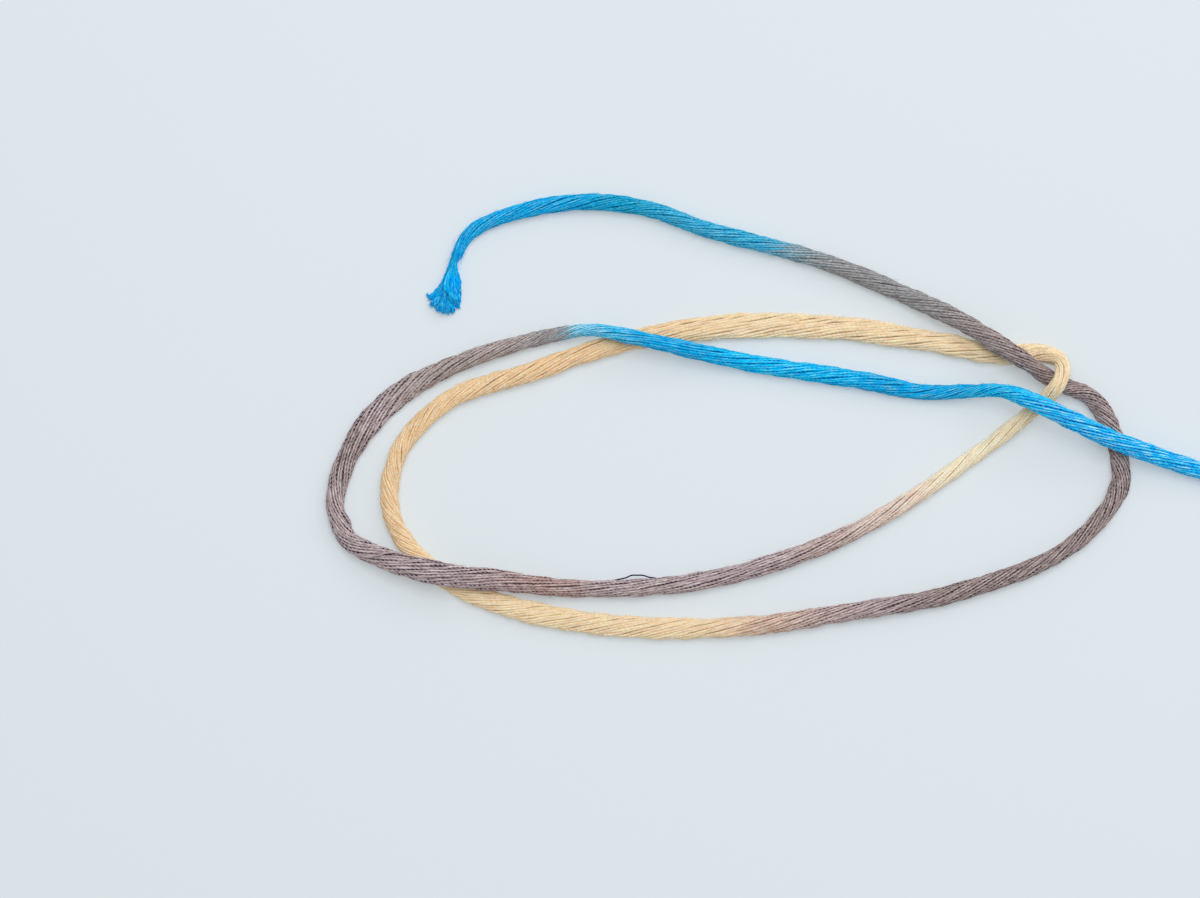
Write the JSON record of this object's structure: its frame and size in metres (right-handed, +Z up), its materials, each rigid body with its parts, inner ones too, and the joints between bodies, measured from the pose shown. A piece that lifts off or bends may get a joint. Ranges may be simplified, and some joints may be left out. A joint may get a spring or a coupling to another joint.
{
  "type": "length of plied cotton cord",
  "caption": "Loose length of plied, space-dyed cotton cord that lies in open crossing loops, frayed at its start and cut plainly at its other end.",
  "frame": {"origin": "middle of the outline of the loops, on the surface that the cord lies on", "axes": "+X along the loops' long direction towards the cut end, +Z up from the surface, +Y to the far side of the loops"},
  "size_m": [0.1661, 0.0762, 0.0087],
  "materials": {
    "cotton": "matt, loosely plied threads, dyed in blue, brown, cream and rose along the cord"
  },
  "bodies": {
    "root": {"cord": "cotton"}
  },
  "joints": []
}
